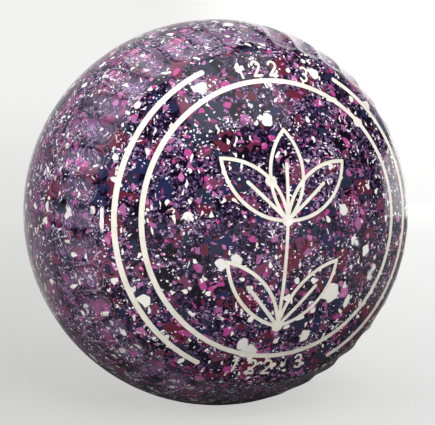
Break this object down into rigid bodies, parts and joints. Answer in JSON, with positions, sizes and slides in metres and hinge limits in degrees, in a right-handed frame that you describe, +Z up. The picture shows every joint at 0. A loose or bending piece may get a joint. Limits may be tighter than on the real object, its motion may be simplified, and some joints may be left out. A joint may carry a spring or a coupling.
{
  "type": "lawn bowl",
  "caption": "Solid moulded lawn bowl, slightly narrower than round, with engraved enamelled rings, a flower and numbers on both domes and grip scoops round each.",
  "frame": {"origin": "middle of the ball, on its rolling axis and halfway between the tops of the two domes", "axes": "+Y along the rolling axis towards the bias dome with the small ring; the large-ring dome faces -Y; +Z up, with the emblems and numbers upright"},
  "size_m": [0.122, 0.105, 0.122],
  "materials": {
    "speckled_resin": "polished, speckled dark navy, magenta, mauve and cream",
    "enamel": "cream enamel, satin"
  },
  "bodies": {
    "root": {"bowl_body": "speckled_resin", "large_ring_enamel": "enamel", "large_left_arc_enamel": "enamel", "large_right_arc_enamel": "enamel", "large_emblem_enamel": "enamel", "large_top_number_enamel": "enamel", "large_bottom_number_enamel": "enamel", "small_ring_enamel": "enamel", "small_left_arc_enamel": "enamel", "small_right_arc_enamel": "enamel", "small_emblem_enamel": "enamel", "small_top_number_enamel": "enamel", "small_bottom_number_enamel": "enamel"}
  },
  "joints": []
}
